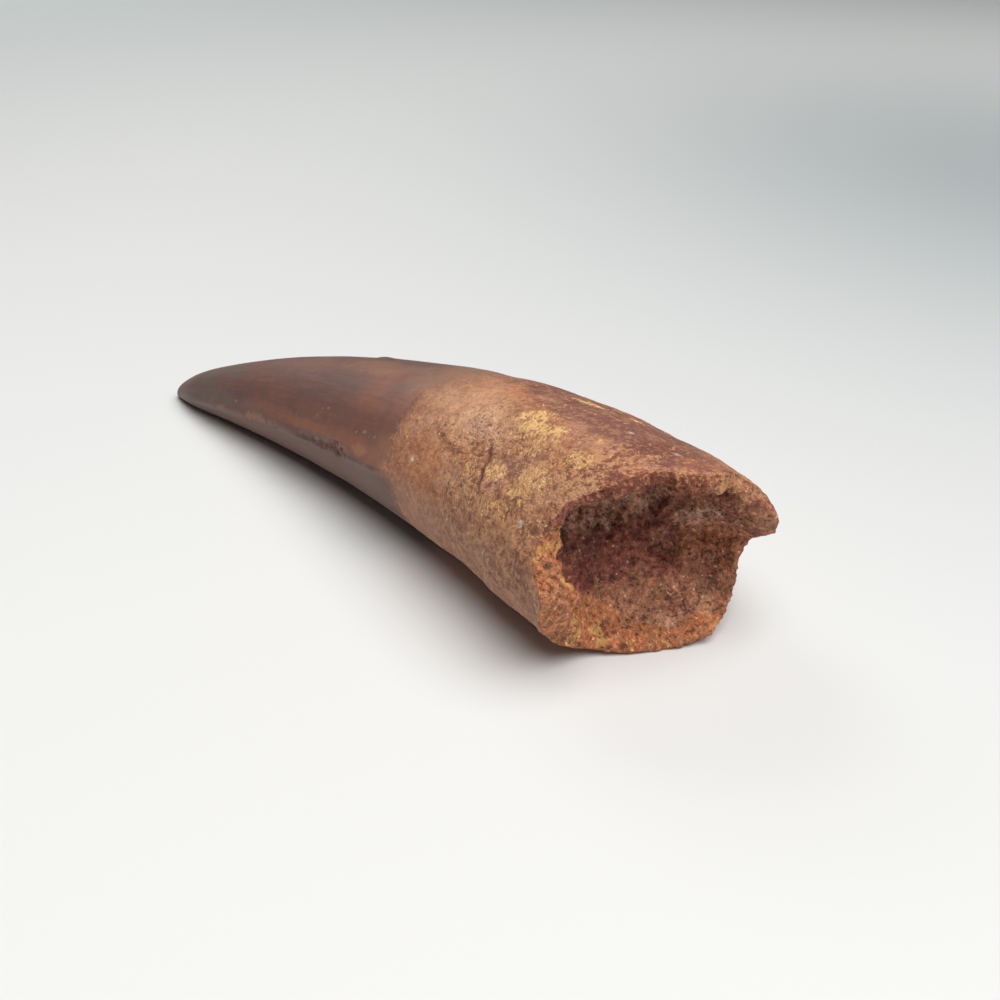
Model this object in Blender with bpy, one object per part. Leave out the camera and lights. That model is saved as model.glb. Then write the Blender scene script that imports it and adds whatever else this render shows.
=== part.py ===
"""Fossil spinosaurus tooth, lying on its side.

One solid: a curved, slightly flattened cone with a keel along each edge of the
crown, a rougher root and, at the root end, the open pulp hollow inside a broken rim.
The root end is at +X, the tip at -X, and the tip curls towards -Y.
"""
import math

import bmesh
import bpy
import numpy as np
from mathutils import Vector, noise

# The whole tooth
LENGTH = 0.145  # along the middle of the tooth, from the broken root end to the tip
TURN = math.radians(27.05)  # how far the tooth curls from the root end to the tip
TURN_EARLY = 0.254  # share by which the curl is quicker at the root end
LEAN = math.radians(-14.65)  # heading of the root end, which lays the chord along X
THICK_ROOT = 0.75  # thickness over breadth at the root end
THICK_TIP = 0.88  # thickness over breadth at the tip

# Breadth of the tooth, edge to edge, at distances from the root end
BREADTHS = (
    (-0.012, 0.0435),
    (0.017, 0.0428),
    (0.0435, 0.0392),
    (0.0725, 0.0318),
    (0.1015, 0.0230),
    (0.1233, 0.0148),
    (0.1363, 0.0087),
    (0.1425, 0.0044),
    (0.1450, 0.0008),
)

# Crown: the enamel ends in a low step, and each edge carries a keel
CROWN_START = 0.052
ENAMEL_STEP = 0.00028
KEEL_HEIGHT = 0.00055
KEEL_HALF_WIDTH = 0.0010
SHOULDER_HEIGHT = 0.00045
SHOULDER_HALF_WIDTH = 0.0050
KEEL_AT_CROWN_START = math.radians(8.0)
KEEL_AT_TIP = math.radians(-5.0)

# Chips out of the near keel: distance from the root end, half length, share of the keel lost
KEEL_CHIPS = (
    (0.1050, 0.0040, 0.8),
    (0.0830, 0.0022, 0.7),
    (0.0735, 0.0065, 1.3),
)

# Local dents and bumps: distance from the root end, angle, half length, half width, height
DENTS = (
    (0.1386, 63.0, 0.0018, 0.0012, -0.00035),
    (0.0800, 106.0, 0.0030, 0.0014, 0.00040),
    (0.0690, 2.0, 0.0030, 0.0018, -0.00050),
    (0.0270, 48.0, 0.0060, 0.0050, -0.00030),
    (0.0110, 12.0, 0.0050, 0.0060, -0.00040),
    (0.0330, 150.0, 0.0080, 0.0050, -0.00035),
    (0.0460, 235.0, 0.0070, 0.0060, -0.00035),
)

# The broken rim: angle round the tooth, spread of the angle, and how far the wall is
# broken back there (a minus sign means that it stands out further)
BREAKS = (
    (36.0, 22.0, 0.0040),  # upper side of the near wall
    (106.0, 15.0, -0.0062),  # tongue at the top
    (162.0, 22.0, -0.0028),  # prong at the far side
    (205.0, 16.0, 0.0048),  # notch under the prong
    (246.0, 14.0, -0.0024),  # far end of the lower lip
    (303.0, 30.0, 0.0040),  # lower lip
    (358.0, 14.0, -0.0022),  # corner at the near side
)
BREAK_FADE = 0.030  # the rows behind the rim follow its line over this length

# Wall left round the hollow: thinnest wall, and where it is thicker
WALL = 0.0017
WALL_THICKER = (
    (352.0, 38.0, 0.0017),
    (300.0, 30.0, 0.0008),
    (150.0, 22.0, 0.0012),
)

# The pulp hollow: steep-walled on the upper near side, an open ramp on the lower far side
HOLLOW_DEPTH = 0.0165
HOLLOW_SIDE = 0.0020  # the deepest point lies this far towards the near side
HOLLOW_RISE = 0.0040  # and this far above the middle of the tooth
HOLLOW_STEEP_AT = math.radians(65.0)
HOLLOW_RAMP = (1.15, 0.95)  # powers of the wall's curve on the ramp
HOLLOW_STEEP = (2.60, 0.50)  # and on the steep side

# Natural unevenness
ROOT_LUMPS = 0.00042
CROWN_LUMPS = 0.00012
RIM_LUMPS = 0.00085
HOLLOW_LUMPS = 0.00090
REST_WEAR = 0.0004  # the underside is worn flat by this much where it rests

# Cells of the surface: round the tooth, inside the hollow, over the rim, along the outside
AROUND = 76
HOLLOW_ROWS = 12
RIM_ROWS = 3
OUTSIDE_ROWS = 47


def through(stations, x):
    """The smooth curve through (place, value) pairs, which never overshoots them."""
    xs = [place for place, _ in stations]
    ys = [value for _, value in stations]
    x = min(max(x, xs[0]), xs[-1])
    k = max(i for i in range(len(xs) - 1) if xs[i] <= x)
    slopes = [(ys[i + 1] - ys[i]) / (xs[i + 1] - xs[i]) for i in range(len(xs) - 1)]

    def tangent(i):
        if i == 0:
            return slopes[0]
        if i == len(xs) - 1:
            return 2.2 * slopes[-1]
        before, after = slopes[i - 1], slopes[i]
        return 2 * before * after / (before + after) if before * after > 0 else 0.0

    width = xs[k + 1] - xs[k]
    t = (x - xs[k]) / width
    rise = ys[k + 1] - ys[k]
    start, end = tangent(k) * width, tangent(k + 1) * width
    return ys[k] + t * start + t * t * (3 * rise - 2 * start - end) + t**3 * (start + end - 2 * rise)


def smooth(low, high, x):
    t = min(max((x - low) / (high - low), 0.0), 1.0)
    return t * t * (3 - 2 * t)


def lobes(table, angle):
    """Sum of smooth lobes round the tooth; angles in degrees."""
    total = 0.0
    for middle, spread, height in table:
        away = (math.degrees(angle) - middle + 180.0) % 360.0 - 180.0
        total += height * math.exp(-((away / spread) ** 2))
    return total


def lumps(point, size, seed):
    """Natural unevenness between about -1 and 1, with lumps of the given size."""
    return noise.fractal(point / size + Vector((seed, 3.7 * seed, -seed)), 0.9, 2.1, 3)


def heading(distance):
    """Direction of the middle line, turned from -X towards -Y."""
    s = distance / LENGTH
    return LEAN + TURN * ((1 + TURN_EARLY) * s - TURN_EARLY * s * s)


def middle_line():
    """Distances along the middle of the tooth and the points there."""
    distances = np.linspace(-0.02, LENGTH, 661)
    angles = np.array([heading(d) for d in distances])
    step = distances[1] - distances[0]
    x = np.concatenate([[0.0], np.cumsum(-np.cos((angles[1:] + angles[:-1]) / 2) * step)])
    y = np.concatenate([[0.0], np.cumsum(-np.sin((angles[1:] + angles[:-1]) / 2) * step)])
    return distances, x, y


MIDDLE = middle_line()


def section(distance):
    """Middle of the tooth at a distance, its side direction, half breadth and half thickness."""
    distances, xs, ys = MIDDLE
    turned = heading(distance)
    side = Vector((math.sin(turned), -math.cos(turned), 0.0))
    half = through(BREADTHS, distance) / 2
    thick = THICK_ROOT + (THICK_TIP - THICK_ROOT) * distance / LENGTH
    middle = Vector((np.interp(distance, distances, xs), np.interp(distance, distances, ys), half * thick))
    return middle, side, half, half * thick


def keel(distance, angle, half):
    """Height of the keels on the two edges of the crown, with their chips."""
    grown = smooth(CROWN_START - 0.004, CROWN_START + 0.006, distance)
    grown *= smooth(LENGTH - 0.001, LENGTH - 0.012, distance)
    along = (distance - CROWN_START) / (LENGTH - CROWN_START)
    near = KEEL_AT_CROWN_START + (KEEL_AT_TIP - KEEL_AT_CROWN_START) * along
    height = 0.0
    for edge, chips in ((near, KEEL_CHIPS), (math.pi - near, ())):
        arc = abs((angle - edge + math.pi) % (2 * math.pi) - math.pi) * half
        lost = sum(share * math.exp(-(((distance - place) / length) ** 4)) for place, length, share in chips)
        height += KEEL_HEIGHT * (1 - lost) * math.exp(-((arc / KEEL_HALF_WIDTH) ** 1.6))
        height += SHOULDER_HEIGHT * math.exp(-((arc / SHOULDER_HALF_WIDTH) ** 2))
    return grown * height


def dents(distance, angle, half):
    total = 0.0
    for place, middle, length, width, height in DENTS:
        arc = ((math.degrees(angle) - middle + 180.0) % 360.0 - 180.0) * math.pi / 180.0 * half
        total += height * math.exp(-(((distance - place) / length) ** 2) - (arc / width) ** 2)
    return total


def outside(distance, angle):
    """A point of the outer surface."""
    middle, side, half, thick = section(distance)
    across = half * math.cos(angle) * side + Vector((0.0, 0.0, thick * math.sin(angle)))
    point = middle + across
    edge_of_enamel = CROWN_START + 0.0022 * lumps(point, 0.012, 4.0)
    crown = smooth(edge_of_enamel - 0.0012, edge_of_enamel + 0.0012, distance)
    relief = keel(distance, angle, half) + dents(distance, angle, half)
    relief += ENAMEL_STEP * (crown - 0.5) * smooth(LENGTH, LENGTH - 0.03, distance)
    rough = ROOT_LUMPS + (CROWN_LUMPS - ROOT_LUMPS) * crown
    relief += rough * lumps(point, 0.009, 1.0)
    return point + relief * across.normalized() * smooth(LENGTH, LENGTH - 0.004, distance)


def break_line(angle):
    """How far the wall is broken back at an angle round the tooth."""
    around = Vector((math.cos(angle), math.sin(angle), 0.0))
    return lobes(BREAKS, angle) + RIM_LUMPS * lumps(around, 0.28, 9.0)


def outside_row(share, angle):
    """From the rim (0) to the tip (1) along the outside, with closer rows at both ends."""
    if share == 1:
        return section(LENGTH)[0]
    distance = LENGTH * (share - 0.35 * math.sin(2 * math.pi * share) / (2 * math.pi))
    follow = max(1 - distance / BREAK_FADE, 0.0) ** 2
    return outside(distance + break_line(angle) * follow, angle)


def hollow_row(share, angle):
    """From the edge of the hollow (0) to its deepest point (1)."""
    wall = WALL + lobes(WALL_THICKER, angle)
    start = break_line(angle) + 0.0006
    distance = start * (1 - share) ** 2 + HOLLOW_DEPTH * share
    middle, side, half, thick = section(max(distance, -0.011))
    steep = (1 + math.cos(angle - HOLLOW_STEEP_AT)) / 2
    first, second = (low + (high - low) * steep for low, high in zip(HOLLOW_RAMP, HOLLOW_STEEP))
    narrow = (1 - share**first) ** second
    across = narrow * (
        (half - wall) * math.cos(angle) * side + Vector((0.0, 0.0, (thick - wall) * math.sin(angle)))
    )
    point = middle + across + HOLLOW_SIDE * share * side + Vector((0.0, 0.0, HOLLOW_RISE * share))
    inward = side.cross(Vector((0.0, 0.0, 1.0)))
    rough = HOLLOW_LUMPS * (0.35 + share) * lumps(point, 0.006, 5.0)
    return point + rough * inward * 0.6 + rough * across * 6.0


def rim_row(share, angle):
    """Over the broken face of the wall, from the hollow (0) to the outside (1)."""
    point = hollow_row(0.0, angle).lerp(outside_row(0.0, angle), share)
    middle, side, _, _ = section(break_line(angle))
    outward = -side.cross(Vector((0.0, 0.0, 1.0)))
    swell = 4 * share * (1 - share)
    return point + outward * swell * (0.0003 + 0.0005 * lumps(point, 0.003, 2.0))


def place(row, angle):
    """The point of the surface on a row: hollow, rim, then the outside to the tip."""
    if row <= HOLLOW_ROWS:
        return hollow_row(1 - row / HOLLOW_ROWS, angle)
    if row <= HOLLOW_ROWS + RIM_ROWS:
        return rim_row((row - HOLLOW_ROWS) / RIM_ROWS, angle)
    return outside_row((row - HOLLOW_ROWS - RIM_ROWS) / OUTSIDE_ROWS, angle)


def column_angle(column):
    """Angle of a column of cells, closer together at the two keels."""
    even = 2 * math.pi * (column % AROUND) / AROUND
    return even - 0.2 * math.sin(2 * even)


def wrap_surface(bm):
    """Wraps a sheet of cells round the tooth, from the deep of the hollow to the tip."""
    rows = HOLLOW_ROWS + RIM_ROWS + OUTSIDE_ROWS
    bmesh.ops.create_grid(bm, x_segments=AROUND, y_segments=rows, size=1.0)
    for vert in bm.verts:
        column = round((vert.co.x + 1) / 2 * AROUND)
        row = round((vert.co.y + 1) / 2 * rows)
        vert.co = place(row, column_angle(column))
    bmesh.ops.remove_doubles(bm, verts=bm.verts, dist=0.00001)


def rest_on_floor(bm):
    """Wears the underside flat where the tooth rests, and centres the tooth over the origin."""
    lowest = min(vert.co.z for vert in bm.verts)
    for vert in bm.verts:
        vert.co.z = max(vert.co.z - lowest - REST_WEAR, 0.0)
    low = Vector([min(vert.co[i] for vert in bm.verts) for i in range(3)])
    high = Vector([max(vert.co[i] for vert in bm.verts) for i in range(3)])
    centre = (low + high) / 2
    bmesh.ops.translate(bm, verts=bm.verts, vec=(-centre.x, -centre.y, 0.0))


def fossil_material():
    material = bpy.data.materials.new("tooth")
    material.use_nodes = True
    shader = material.node_tree.nodes["Principled BSDF"]
    shader.inputs["Base Color"].default_value = (0.21, 0.075, 0.035, 1.0)
    shader.inputs["Roughness"].default_value = 0.6
    shader.inputs["Metallic"].default_value = 0.0
    return material


def make_tooth():
    bm = bmesh.new()
    wrap_surface(bm)
    rest_on_floor(bm)
    bmesh.ops.triangulate(bm, faces=bm.faces, quad_method="SHORT_EDGE")
    bmesh.ops.recalc_face_normals(bm, faces=bm.faces)
    mesh = bpy.data.meshes.new("tooth")
    bm.to_mesh(mesh)
    bm.free()
    mesh.shade_smooth()
    mesh.set_sharp_from_angle(angle=math.radians(50))
    mesh.materials.append(fossil_material())
    tooth = bpy.data.objects.new("tooth", mesh)
    bpy.context.scene.collection.objects.link(tooth)


def main():
    for old in list(bpy.data.objects):
        bpy.data.objects.remove(old, do_unlink=True)
    make_tooth()


main()
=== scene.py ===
import math

import bpy
import numpy as np
from bpy.props import FloatProperty, FloatVectorProperty, PointerProperty
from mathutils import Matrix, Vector, kdtree, noise


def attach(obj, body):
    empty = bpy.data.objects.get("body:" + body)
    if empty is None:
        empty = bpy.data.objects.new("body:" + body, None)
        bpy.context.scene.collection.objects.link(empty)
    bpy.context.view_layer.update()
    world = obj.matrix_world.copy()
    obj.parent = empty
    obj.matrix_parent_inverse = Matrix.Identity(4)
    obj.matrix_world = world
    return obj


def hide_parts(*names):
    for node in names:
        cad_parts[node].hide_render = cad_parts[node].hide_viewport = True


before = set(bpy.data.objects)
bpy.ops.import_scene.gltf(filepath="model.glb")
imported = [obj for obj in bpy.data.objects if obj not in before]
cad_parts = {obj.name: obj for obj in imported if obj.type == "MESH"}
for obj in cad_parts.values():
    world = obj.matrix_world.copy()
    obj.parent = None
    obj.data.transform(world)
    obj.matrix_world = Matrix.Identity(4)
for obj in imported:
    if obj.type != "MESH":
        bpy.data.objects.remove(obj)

bl_info = {
    "name": "Fossil tooth",
    "version": (1, 0, 0),
    "blender": (4, 5, 0),
    "location": "3D View > Sidebar > Fossil",
    "description": "Dresses the solid of a fossil spinosaurus tooth: enamel, root and hollow",
    "category": "Object",
}

NODE = "tooth"
MM = 0.001
MOST_TRIANGLES = 198000

# The middle line of the tooth, which curls level with the floor, as the solid has it
ROOT_END = Vector((0.06767, -0.00278, 0.0))
PAST_ROOT_END = -0.014
LENGTH = 0.145
LINE_POINTS = 1591
LEAN = math.radians(-14.65)
TURN = math.radians(27.05)
TURN_EARLY = 0.254

# Breadth at distances along the tooth, and thickness as a share of it
BREADTHS = (
    (-0.012, 0.0435), (0.017, 0.0428), (0.0435, 0.0392), (0.0725, 0.0318), (0.1015, 0.0230),
    (0.1233, 0.0148), (0.1363, 0.0087), (0.1425, 0.0044), (0.1450, 0.0008),
)
THICK_ROOT, THICK_TIP = 0.75, 0.88
WORN_OFF_UNDERSIDE = 0.00035

# Angles round the tooth are in degrees: 0 on the near side, 90 on top, 180 on the far side
CROWN_START = 0.052
KEEL_AT_CROWN_START = 8.0
KEEL_AT_TIP = -5.0

# How far from the root's end the pulp hollow, its rim and the wall round it reach
HOLLOW_REACH, RIM_REACH, WALL_REACH = 0.019, 0.021, 0.022


# -------- settings


def colour(name, description, value):
    look = {"subtype": "COLOR", "size": 3, "min": 0.0, "max": 1.0}
    return FloatVectorProperty(name=name, description=description, default=value, **look)


def length(name, description, value):
    look = {"subtype": "DISTANCE", "unit": "LENGTH", "precision": 5}
    return FloatProperty(name=name, description=description, default=value, **look)


class ToothSizes(bpy.types.PropertyGroup):
    cell: length("Surface cell", "Size of the even cells that carry the fine relief", 0.00046)
    root_grain: length("Root grain", "Height of the grain on the root", 0.00034)
    root_pits: length("Root pits", "Depth of the pits in the root", 0.00052)
    crown_streaks: length("Crown streaks", "Height of the enamel's lengthwise streaks", 0.00004)
    hollow_grain: length("Hollow grain", "Height of the coarse grain in the hollow", 0.00085)
    rim_crumble: length("Rim crumble", "How far the broken rim is crumbled", 0.00060)
    keel_crease: length("Keel crease", "Height of the sharp keel on the near side", 0.00035)
    enamel_lip: length("Enamel lip", "Height of the edge where the enamel ends", 0.00022)


class ToothColours(bpy.types.PropertyGroup):
    enamel: colour("Enamel", "Red-brown of the crown", (0.189, 0.086, 0.066))
    enamel_olive: colour("Olive enamel", "Olive-grey at the tip", (0.138, 0.101, 0.081))
    enamel_plum: colour("Plum enamel", "Dark purple-brown clouds", (0.133, 0.066, 0.059))
    enamel_warm: colour("Warm enamel", "Orange-brown clouds", (0.323, 0.114, 0.061))
    # Painted shade: the enamel darker and greyer on the flank under the keel, which faces down
    enamel_painted_shade: colour("Grey enamel", "Grey-brown under the keel", (0.157, 0.075, 0.049))
    enamel_thin: colour("Thin enamel", "Brown where it is thin", (0.36, 0.185, 0.115))
    keel_line: colour("Keel line", "Dark line along the keel", (0.085, 0.036, 0.03))
    chip_light: colour("Light chips", "Light part of worn chips", (0.43, 0.24, 0.18))
    chip_dark: colour("Dark chips", "Dark part of worn chips", (0.08, 0.034, 0.028))
    chip_fresh: colour("Fresh chips", "Chips near the tip", (0.36, 0.185, 0.105))
    root: colour("Root", "Tan dentine of the root", (0.514, 0.215, 0.101))
    # Also used for the painted sheen on top of the crown and the painted highlight along the lower
    # rim
    root_light: colour("Light root", "Pale tan dentine", (0.705, 0.354, 0.175))
    root_pale: colour("Pale root", "Dentine worn bare", (0.9, 0.52, 0.31))
    # Partly pale grains, partly painted glints
    root_glint: colour("Glints", "Light grains of the root", (0.95, 0.64, 0.4))
    root_dark: colour("Dark grains", "Dark grains of the root", (0.215, 0.072, 0.042))
    root_rosy: colour("Rosy root", "Pinkish drifts on the root", (0.56, 0.285, 0.205))
    root_brown: colour("Brown root", "Brown drifts on the root", (0.4, 0.165, 0.085))
    root_neck: colour("Neck", "Brown band by the enamel", (0.375, 0.175, 0.105))
    root_warm: colour("Warm root", "Orange-brown dentine", (0.523, 0.193, 0.085))
    root_red: colour("Red root", "Red-brown stain on the root", (0.402, 0.133, 0.074))
    root_plum: colour("Plum root", "Smooth purple-brown crust", (0.233, 0.09, 0.064))
    # Painted shade: the root greyer on its lower flank, which faces down
    root_painted_shade: colour("Grey root", "Shade of the lower flank", (0.434, 0.216, 0.142))
    crack: colour("Crack", "Dirt in the crack", (0.13, 0.035, 0.025))
    ochre: colour("Ochre", "Yellow ochre crust", (1, 0.6, 0.235))
    ochre_stain: colour("Ochre stain", "Stain round the ochre", (0.64, 0.33, 0.14))
    rim: colour("Rim", "Orange of the broken wall", (0.525, 0.17, 0.067))
    rim_yellow: colour("Yellow rim", "Yellow patches in the wall", (0.68, 0.37, 0.12))
    rim_brown: colour("Brown rim", "Wall at the top of the rim", (0.28, 0.078, 0.038))
    # Dark crumbs along the top rim, with painted shade in its crevices
    rim_crumbs_and_painted_shade: colour("Dark rim", "Dark crumbs along the rim", (0.2, 0.052, 0.032))
    hollow: colour("Hollow", "Purple-brown, deep inside", (0.309, 0.09, 0.06))
    # Painted light: the hollow's stone lighter where light falls into it
    hollow_painted_light: colour("Open hollow", "Open side of the hollow", (0.453, 0.196, 0.108))
    # Pale clay lumps high in the hollow, made lighter still as painted light
    hollow_clay_and_painted_light: colour("Hollow clay", "Lumps high in the hollow", (0.85, 0.512, 0.368))
    # Painted shadow: the darkest places in the hollow
    hollow_painted_shadow: colour("Hollow gloom", "Darkest stain in the hollow", (0.198, 0.067, 0.054))
    chalk: colour("Chalk", "Pale specks of stone", (1, 0.84, 0.68))
    chalk_crown: colour("Crown specks", "Pale specks on the crown", (0.72, 0.5, 0.38))


class StageSettings(bpy.types.PropertyGroup):
    floor: colour("Floor", "Pale floor", (0.87, 0.865, 0.855))
    # Painted shade: a cooler grey patch on the floor behind the root
    floor_shade: colour("Shaded floor", "Cooler grey behind the root", (0.47, 0.505, 0.515))
    floor_size: length("Floor size", "Radius of the floor", 6.0)


# -------- shape of the tooth


# When the solid is copied: gap that is closed, how bent and how skewed two triangles may be to
# make one face, and how sharp an edge must be to stay an edge
MERGE_GAP = 0.000005
MOST_BENT, MOST_SKEWED = math.radians(60), math.radians(80)
SHARP_EDGE = math.radians(38)


def select_only(piece):
    bpy.ops.object.select_all(action="DESELECT")
    piece.select_set(True)
    bpy.context.view_layer.objects.active = piece


def apply_modifier(piece, name, kind, **settings):
    """Adds a modifier with its settings and applies it."""
    modifier = piece.modifiers.new(name, kind)
    for key, value in settings.items():
        setattr(modifier, key, value)
    select_only(piece)
    bpy.ops.object.modifier_apply(modifier=modifier.name)


def copy_of_solid(name):
    """A merged copy of the solid, as a new piece with four-sided faces where they fit."""
    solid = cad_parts[NODE]
    piece = bpy.data.objects.new(name, solid.data.copy())
    piece.data.name = name
    piece.data.materials.clear()
    bpy.context.scene.collection.objects.link(piece)
    select_only(piece)
    bpy.ops.object.mode_set(mode="EDIT")
    bpy.ops.mesh.select_all(action="SELECT")
    bpy.ops.mesh.remove_doubles(threshold=MERGE_GAP)
    bpy.ops.mesh.tris_convert_to_quads(face_threshold=MOST_BENT, shape_threshold=MOST_SKEWED)
    bpy.ops.mesh.select_mode(type="EDGE")
    bpy.ops.mesh.select_all(action="DESELECT")
    bpy.ops.mesh.edges_select_sharp(sharpness=SHARP_EDGE)
    bpy.ops.transform.edge_crease(value=1.0)
    bpy.ops.object.mode_set(mode="OBJECT")
    return piece


def profile(x, pairs):
    """Height at each x of a line drawn through pairs of x and height."""
    places, heights = zip(*pairs)
    return np.interp(x, places, heights)


def smooth(low, high, x):
    """0 where x is low, 1 where it is high, smooth between."""
    t = np.clip((x - low) / (high - low), 0.0, 1.0)
    return t * t * (3 - 2 * t)


def heading(distance):
    """Direction of the middle line at a distance along it, from the direction of -X."""
    s = distance / LENGTH
    return LEAN + TURN * ((1 + TURN_EARLY) * s - TURN_EARLY * s * s)


def middle_line():
    """Distances along the middle of the tooth, and the x and y there."""
    distances = np.linspace(PAST_ROOT_END, LENGTH, LINE_POINTS)
    step = distances[1] - distances[0]
    angles = heading((distances[1:] + distances[:-1]) / 2)
    x = np.concatenate([[0.0], np.cumsum(-np.cos(angles) * step)])
    y = np.concatenate([[0.0], np.cumsum(-np.sin(angles) * step)])
    x += ROOT_END.x - np.interp(0.0, distances, x)
    y += ROOT_END.y - np.interp(0.0, distances, y)
    return distances, x, y


class Unrolled:
    """Where each point lies on the tooth: along it, round it, and how far out from its middle."""

    batch = 4000

    def __init__(self, points, normals):
        distances, xs, ys = middle_line()
        nearest = np.empty(len(points), dtype=int)
        for start in range(0, len(points), self.batch):
            part = points[start : start + self.batch]
            away = (part[:, :1] - xs) ** 2 + (part[:, 1:2] - ys) ** 2
            nearest[start : start + self.batch] = np.argmin(away, axis=1)
        self.along = distances[nearest]
        turned = heading(self.along)
        self.side = np.stack([np.sin(turned), -np.cos(turned), 0 * turned], axis=1)
        self.ahead = np.stack([-np.cos(turned), -np.sin(turned), 0 * turned], axis=1)
        self.half = profile(self.along, BREADTHS) / 2
        thick = self.half * (THICK_ROOT + (THICK_TIP - THICK_ROOT) * self.along / LENGTH)
        middle = np.stack([xs[nearest], ys[nearest], thick - WORN_OFF_UNDERSIDE], axis=1)
        across = points - middle
        sideways = (across * self.side).sum(axis=1) / self.half
        upwards = across[:, 2] / thick
        self.round = np.degrees(np.arctan2(upwards, sideways))
        self.out = np.hypot(sideways, upwards)
        self.radial = across / (np.linalg.norm(across, axis=1, keepdims=True) + 1e-9)
        self.faces_out = (normals * self.radial).sum(axis=1)
        self.faces_end = -(normals * self.ahead).sum(axis=1)
        keel = (self.along - CROWN_START) / (LENGTH - CROWN_START)
        self.keel = KEEL_AT_CROWN_START + (KEEL_AT_TIP - KEEL_AT_CROWN_START) * keel

    def from_angle(self, angle):
        """Distance round the tooth from an angle, in metres."""
        away = (self.round - angle + 180.0) % 360.0 - 180.0
        return np.radians(away) * self.half


def read(items, key, numbers=1, kind=int):
    """One property of all the points, edges or faces of a mesh: a row of numbers for each."""
    values = np.empty(len(items) * numbers, dtype=kind)
    items.foreach_get(key, values)
    return values.reshape(-1, numbers) if numbers > 1 else values


def points_and_normals(mesh):
    return read(mesh.vertices, "co", 3, float), read(mesh.vertices, "normal", 3, float)


def neighbour_mean(mesh, values, rounds=2):
    """Values evened out over each vertex's neighbours."""
    a, b = read(mesh.edges, "vertices", 2).T
    total = len(values)
    count = np.bincount(a, minlength=total) + np.bincount(b, minlength=total) + 1
    for _ in range(rounds):
        near = values + np.bincount(a, values[b], total) + np.bincount(b, values[a], total)
        values = near / count
    return values


def grain(points, size, seed):
    """Uneven lumps of the given size, about -1 to 1, one value for each point."""
    shift = Vector((seed, 3.1 * seed, -1.7 * seed))
    fineness = 0.8, 2.1, 3
    return np.array([noise.fractal(Vector(p) / size + shift, *fineness) for p in points])


def cells(points, size, seed):
    """Distance to the nearest of scattered points, 0 at a point to about 1."""
    shift = Vector((seed, -2.3 * seed, 1.9 * seed))
    return np.array([noise.voronoi(Vector(p) / size + shift)[0][0] for p in points])


def facets(points, size, seed):
    """Flat-topped chips of the given size, each at its own height from about -1 to 1."""
    shift = Vector((-1.1 * seed, 2.9 * seed, seed))
    spread, height = 7.3, 1.6
    nearest = (noise.voronoi(Vector(p) / size + shift)[1][0] for p in points)
    return np.array([noise.noise(place * spread) for place in nearest]) * height


# A point is on the inside when it is clearly within the outer skin, or within it and not turned
# outwards, or near the end and turned to the end
OUTER_SKIN, WELL_WITHIN = 0.955, 0.80
TURNED_OUT, TURNED_TO_END = 0.35, 0.40
END_FACE_REACH = 0.007


def inside_of_hollow(where):
    """Whether each point lies inside the pulp hollow or on the broken end of its wall."""
    inner = (where.out < OUTER_SKIN) & (where.faces_out < TURNED_OUT)
    end_face = (where.along < END_FACE_REACH) & (where.faces_end > TURNED_TO_END)
    return (where.along < HOLLOW_REACH) & (inner | end_face | (where.out < WELL_WITHIN))


def tree_of(points, members):
    """A search tree of those points that are members."""
    tree = kdtree.KDTree(int(members.sum()))
    for index in np.nonzero(members)[0]:
        tree.insert(points[index], index)
    tree.balance()
    return tree


# Round the tooth: how far out the broken end of the wall starts, and how much of it shows
WALL_STARTS = ((-120, 0.80), (-95, 0.72), (-70, 0.52), (-35, 0.50), (-10, 0.58), (20, 0.64))
WALL_SHOWS = (
    (-180, 0.2), (-150, 0.4), (-120, 0.6), (-95, 1), (36, 1), (44, 0),
    (60, 0), (66, 1), (120, 1), (150, 0.2), (180, 0.2),
)
WALL_START_WIDTH = 0.12
RIM_WIDTH = 0.0022


def zones(mesh, points, where):
    """Shares from 0 to 1: inside of the hollow, broken end of its wall, closeness to its edge."""
    inner = inside_of_hollow(where)
    start = profile(where.round, WALL_STARTS)
    broken = inner * smooth(start, start + WALL_START_WIDTH, where.out)
    broken = broken * smooth(0.10, 0.45, where.faces_end) * profile(where.round, WALL_SHOWS)
    outer = (where.along < HOLLOW_REACH) & ~inner
    trees = tree_of(points, outer), tree_of(points, inner)
    rim = np.zeros(len(points))
    for index in np.nonzero(where.along < RIM_REACH)[0]:
        away = trees[0 if inner[index] else 1].find(points[index])[2]
        rim[index] = math.exp(-((away / RIM_WIDTH) ** 2))
    return tuple(neighbour_mean(mesh, share) for share in (inner.astype(float), broken, rim))


# Round the tooth, in mm: where along the tooth the rim lies, and what is added to its wall
RIM_PLACES = (
    (-60, 3.3), (-40, 2.6), (-20, 0), (0, -1.8), (10, -0.5), (20, 2.3),
    (30, 3.5), (40, 3.6), (50, 2.4), (80, -0.7), (105, -5), (125, -3.5),
)
WALL_ADDED = (
    (-60, 0), (-45, 1.8), (-20, 2.2), (15, 2.2), (34, 1.3), (44, 0), (56, 0),
    (66, 0.9), (100, 1.3), (112, 1), (126, 1.2), (150, 1.2), (172, 0),
)
WALL_FADES_FROM, WALL_FADES_TO = 2.0, 14.0


def thicker_wall(points, where, turned):
    """How far in the wall is thickened: a broad band on the near side, a thin one on top."""
    inner = inside_of_hollow(where)
    outer = tree_of(points, (where.along < WALL_REACH) & ~inner)
    from_outside = [outer.find(p)[2] if within else 0.0 for p, within in zip(points, inner)]
    deep = where.along / MM - profile(turned, RIM_PLACES)
    extra = profile(turned, WALL_ADDED) * MM
    extra *= 1 + 0.45 * facets(points, 0.0045, 61.0) + 0.25 * grain(points, 0.0022, 62.0)
    extra *= inner * smooth(0.0, 0.0009, np.array(from_outside))
    return extra * smooth(WALL_FADES_TO, WALL_FADES_FROM, deep)


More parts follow.
